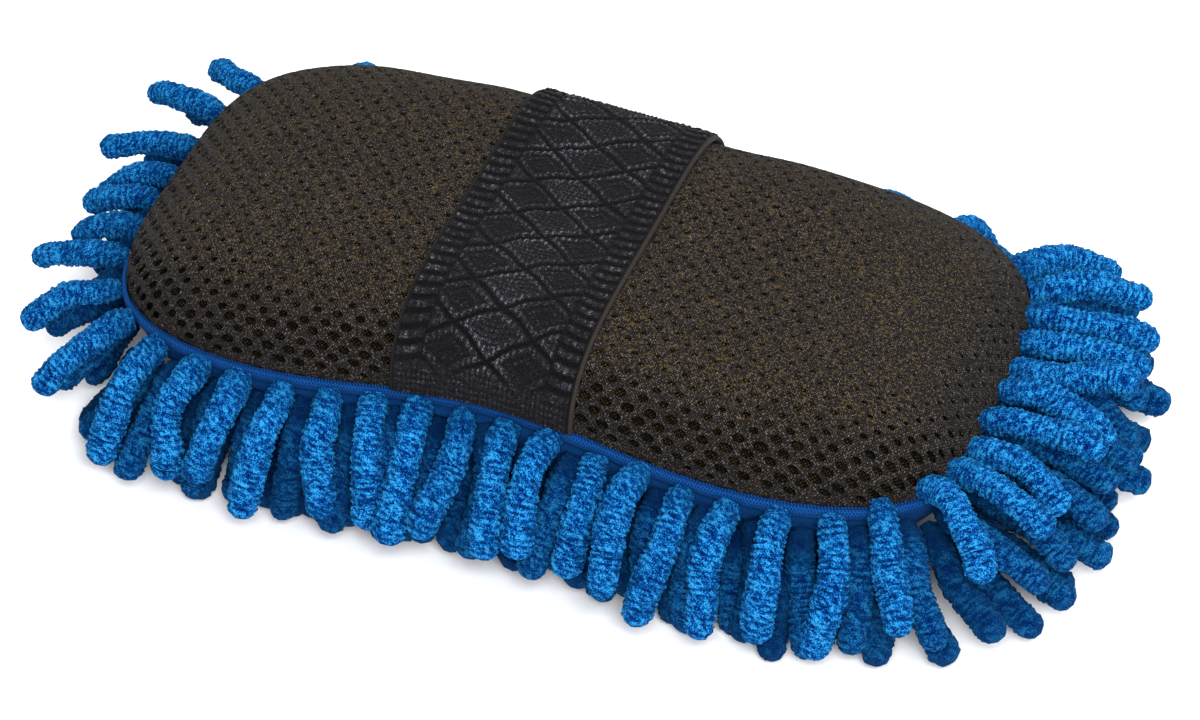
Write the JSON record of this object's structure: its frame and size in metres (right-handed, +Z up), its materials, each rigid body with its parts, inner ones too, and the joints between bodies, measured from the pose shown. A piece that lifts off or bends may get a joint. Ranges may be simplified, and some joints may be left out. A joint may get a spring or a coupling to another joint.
{
  "type": "car wash mitt",
  "caption": "Oblong foam wash pad in a black air-mesh cover, edged and soled with blue chenille fingers, with a wide elastic hand strap over its crown.",
  "frame": {"origin": "under the middle of the pad, on the surface that the mitt rests on, at the resting face", "axes": "+Z up, X along the mitt's length with the hand strap crossing it, -Y towards the mitt's front"},
  "size_m": [0.3065, 0.1734, 0.066],
  "materials": {
    "foam": "open-cell polyurethane foam, matt",
    "air_mesh": "black polyester air mesh with round holes",
    "knit": "blue weft-knitted polyester",
    "elastic": "black jacquard elastic webbing",
    "chenille": "blue microfibre chenille pile"
  },
  "bodies": {
    "pad": {"foam_core": "foam", "mesh_cover": "air_mesh", "base_fabric": "knit", "seam_welt": "knit", "strap_tab_front": "elastic", "strap_tab_back": "elastic", "chenille_upper_front": "chenille", "chenille_upper_back": "chenille", "chenille_upper_left": "chenille", "chenille_upper_right": "chenille", "chenille_middle_front": "chenille", "chenille_middle_back": "chenille", "chenille_middle_left": "chenille", "chenille_middle_right": "chenille", "chenille_lower_left": "chenille", "chenille_lower_right": "chenille", "chenille_sole_1": "chenille", "chenille_sole_2": "chenille", "chenille_sole_3": "chenille", "chenille_sole_4": "chenille"},
    "strap": {"hand_strap": "elastic"}
  },
  "joints": [
    {"name": "strap_lift", "type": "slide", "parent": "pad", "child": "strap", "axis": [0, 0, 1], "range_m": [0, 0.028], "stiffness_N_per_m": 450, "springref_m": -0.004}
  ]
}
